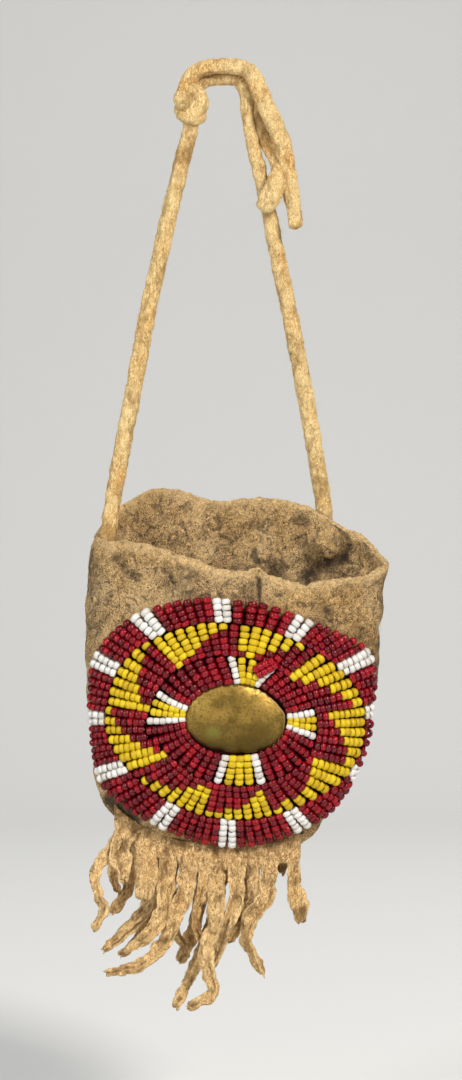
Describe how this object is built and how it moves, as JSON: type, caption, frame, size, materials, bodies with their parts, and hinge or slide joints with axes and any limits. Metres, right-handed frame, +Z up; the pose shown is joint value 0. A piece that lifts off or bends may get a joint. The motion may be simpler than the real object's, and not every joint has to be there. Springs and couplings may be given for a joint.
{
  "type": "beaded medicine bag",
  "caption": "Small hide pouch with an open mouth, a round seed bead rosette about a domed oval brass disc, a hide fringe along the bottom seam and a knotted hide thong to hang it by.",
  "frame": {"origin": "where the lower strand of the thong rests on what holds the bag up, at the top of the thong's loop", "axes": "+Z up as the bag hangs, +X to the right of someone who faces the beadwork, -Y towards them"},
  "size_m": [0.077, 0.0298, 0.2374],
  "materials": {
    "hide": "smoked, soiled and napped",
    "fringe_hide": "soft napped strips",
    "thong_hide": "rolled, fuzzy lace",
    "red_beads": "polished cranberry glass",
    "white_beads": "opaque chalk white glass",
    "yellow_beads": "opaque greasy yellow glass",
    "brass": "aged and spotted"
  },
  "bodies": {
    "root": {"bag_body": "hide", "concho": "brass", "fringe_back": "fringe_hide", "fringe_front": "fringe_hide", "motif_1_white_first": "white_beads", "motif_1_white_last": "white_beads", "motif_1_yellow": "yellow_beads", "motif_2_white_first": "white_beads", "motif_2_white_last": "white_beads", "motif_2_yellow": "yellow_beads", "motif_3_white_first": "white_beads", "motif_3_white_last": "white_beads", "motif_3_yellow": "yellow_beads", "motif_4_white_first": "white_beads", "motif_4_white_last": "white_beads", "motif_4_yellow": "yellow_beads", "red_inner_1": "red_beads", "red_inner_2": "red_beads", "red_inner_3": "red_beads", "red_inner_4": "red_beads", "red_middle": "red_beads", "red_rim_01": "red_beads", "red_rim_02": "red_beads", "red_rim_03": "red_beads", "red_rim_04": "red_beads", "red_rim_05": "red_beads", "red_rim_06": "red_beads", "red_rim_07": "red_beads", "red_rim_08": "red_beads", "red_rim_09": "red_beads", "red_rim_10": "red_beads", "red_rim_11": "red_beads", "red_rim_12": "red_beads", "thong_knot": "thong_hide", "thong_left_leg": "thong_hide", "thong_long_tail": "thong_hide", "thong_right_leg": "thong_hide", "thong_short_tail": "thong_hide", "thong_stopper_knot": "thong_hide", "white_bar_01": "white_beads", "white_bar_02": "white_beads", "white_bar_03": "white_beads", "white_bar_04": "white_beads", "white_bar_05": "white_beads", "white_bar_06": "white_beads", "white_bar_07": "white_beads", "white_bar_08": "white_beads", "white_bar_09": "white_beads", "white_bar_10": "white_beads", "white_bar_11": "white_beads", "white_bar_12": "white_beads", "yellow_triangle_1": "yellow_beads", "yellow_triangle_2": "yellow_beads", "yellow_triangle_3": "yellow_beads", "yellow_triangle_4": "yellow_beads", "yellow_triangle_5": "yellow_beads", "yellow_triangle_6": "yellow_beads", "yellow_triangle_7": "yellow_beads", "yellow_triangle_8": "yellow_beads", "yellow_triangle_9": "yellow_beads"}
  },
  "joints": []
}
